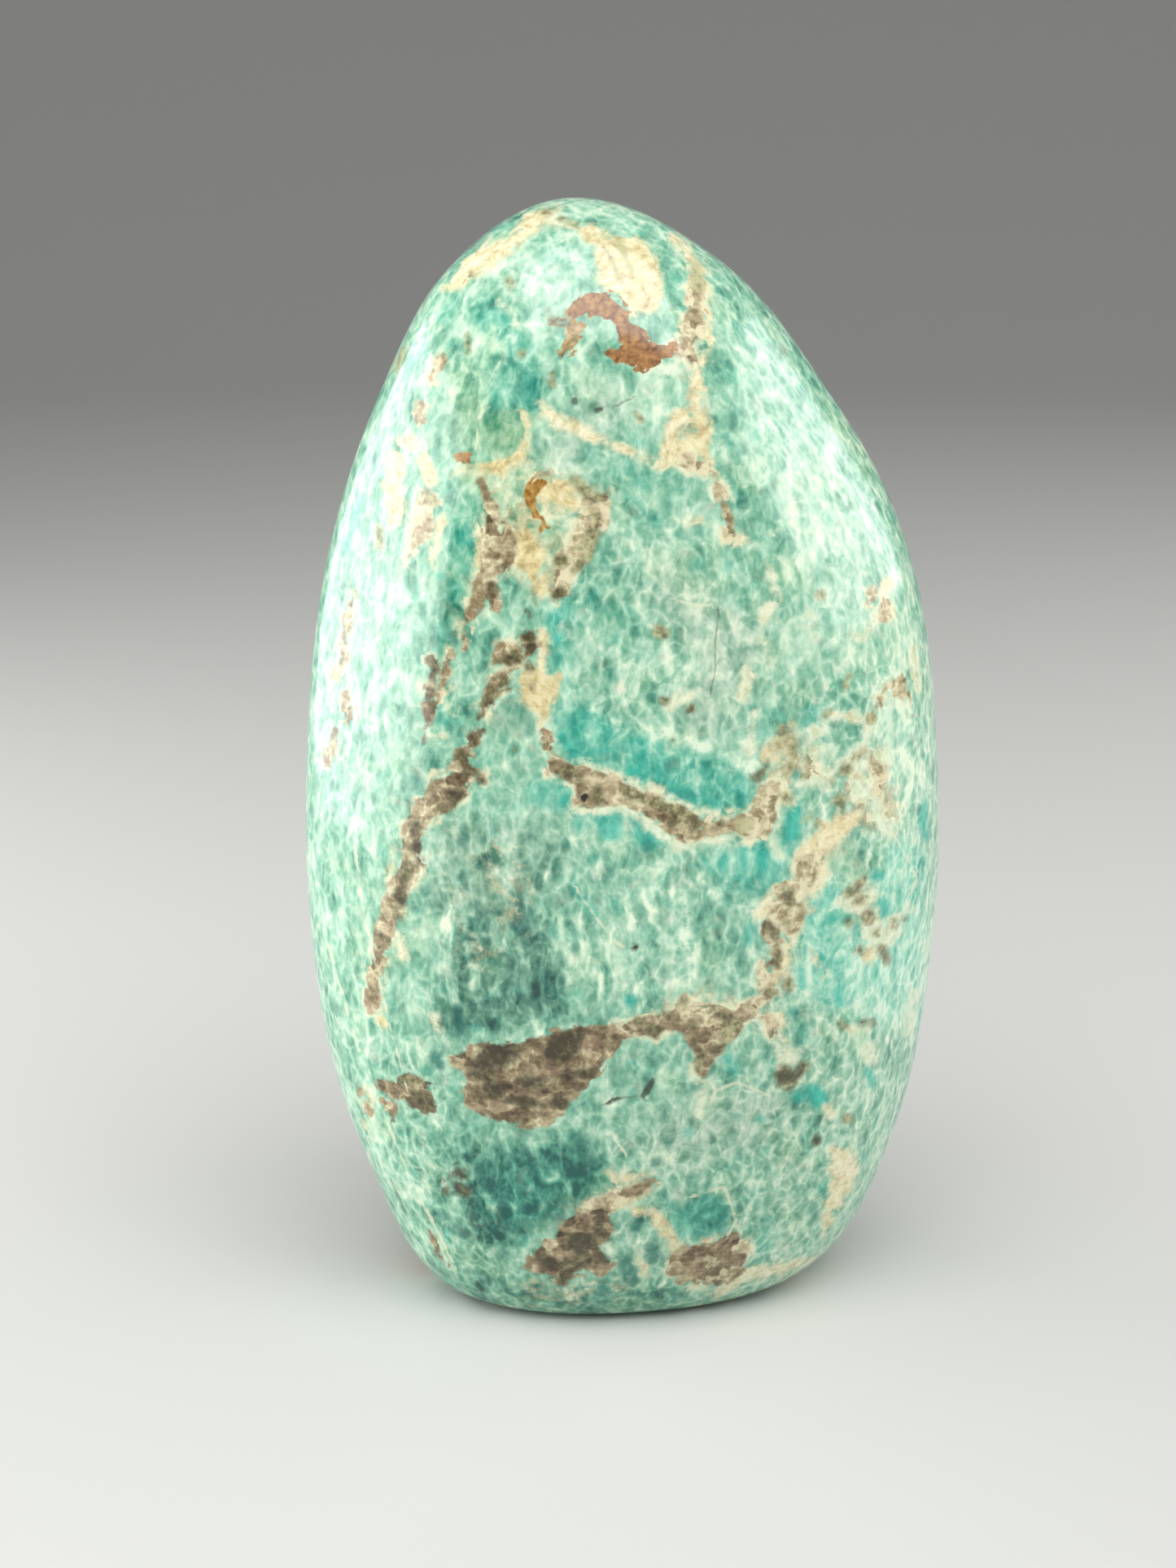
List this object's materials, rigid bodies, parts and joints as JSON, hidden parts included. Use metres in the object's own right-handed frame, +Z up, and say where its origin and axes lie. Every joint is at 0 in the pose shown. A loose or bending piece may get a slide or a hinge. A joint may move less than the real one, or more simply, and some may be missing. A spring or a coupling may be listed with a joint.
{
  "type": "amazonite freeform",
  "caption": "Polished freeform of amazonite feldspar that stands upright on a flat sawn foot, with smoky veins in mottled blue-green stone.",
  "frame": {"origin": "on the plane of the sawn foot, under the middle of the bounding box", "axes": "+Z up from the foot to the crown, +X to the right of a viewer who faces the broad front, -Y out of that front"},
  "size_m": [0.07, 0.045, 0.12],
  "materials": {
    "amazonite": "polished"
  },
  "bodies": {
    "root": {"amazonite_stone": "amazonite"}
  },
  "joints": []
}
